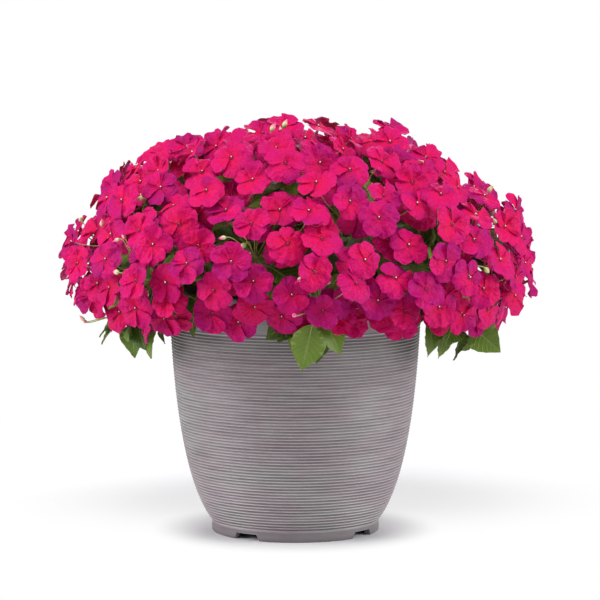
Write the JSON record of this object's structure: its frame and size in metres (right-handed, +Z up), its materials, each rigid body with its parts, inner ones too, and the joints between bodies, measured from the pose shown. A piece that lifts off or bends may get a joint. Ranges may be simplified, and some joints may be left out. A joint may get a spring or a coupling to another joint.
{
  "type": "busy lizzie in a pot",
  "caption": "Bedding plant in its pot: a round mound of flat magenta flowers over pointed green leaves, in a grey plastic pot with fine level ribs and a foot ring.",
  "frame": {"origin": "on the surface that the pot stands on, at the pot's axis", "axes": "+Z up along the pot's axis, -Y to the front of the plant, +X to the right seen from the front"},
  "size_m": [0.4836, 0.4811, 0.421],
  "materials": {
    "pot_plastic": "matte",
    "potting_mix": "matte",
    "leaf_and_stem": "satin",
    "petal": "matte"
  },
  "bodies": {
    "root": {"planter": "pot_plastic", "soil": "potting_mix", "leafy_stem_01": "leaf_and_stem", "flower_spray_01": "petal", "leafy_stem_02": "leaf_and_stem", "flower_spray_02": "petal", "leafy_stem_03": "leaf_and_stem", "flower_spray_03": "petal", "leafy_stem_04": "leaf_and_stem", "flower_spray_04": "petal", "leafy_stem_05": "leaf_and_stem", "flower_spray_05": "petal", "leafy_stem_06": "leaf_and_stem", "flower_spray_06": "petal", "leafy_stem_07": "leaf_and_stem", "flower_spray_07": "petal", "leafy_stem_08": "leaf_and_stem", "flower_spray_08": "petal", "leafy_stem_09": "leaf_and_stem", "flower_spray_09": "petal", "leafy_stem_10": "leaf_and_stem", "flower_spray_10": "petal", "leafy_stem_11": "leaf_and_stem", "flower_spray_11": "petal", "leafy_stem_12": "leaf_and_stem", "flower_spray_12": "petal", "leafy_stem_13": "leaf_and_stem", "flower_spray_13": "petal", "leafy_stem_14": "leaf_and_stem", "flower_spray_14": "petal", "leafy_stem_15": "leaf_and_stem", "flower_spray_15": "petal", "leafy_stem_16": "leaf_and_stem", "flower_spray_16": "petal", "leafy_stem_17": "leaf_and_stem", "flower_spray_17": "petal", "leafy_stem_18": "leaf_and_stem", "flower_spray_18": "petal", "leafy_stem_19": "leaf_and_stem", "flower_spray_19": "petal", "leafy_stem_20": "leaf_and_stem", "flower_spray_20": "petal", "leafy_stem_21": "leaf_and_stem", "flower_spray_21": "petal", "leafy_stem_22": "leaf_and_stem", "flower_spray_22": "petal", "leafy_stem_23": "leaf_and_stem", "flower_spray_23": "petal", "leafy_stem_24": "leaf_and_stem", "flower_spray_24": "petal", "leafy_stem_25": "leaf_and_stem", "flower_spray_25": "petal", "leafy_stem_26": "leaf_and_stem", "flower_spray_26": "petal", "leafy_stem_27": "leaf_and_stem", "flower_spray_27": "petal", "leafy_stem_28": "leaf_and_stem", "flower_spray_28": "petal"}
  },
  "joints": []
}
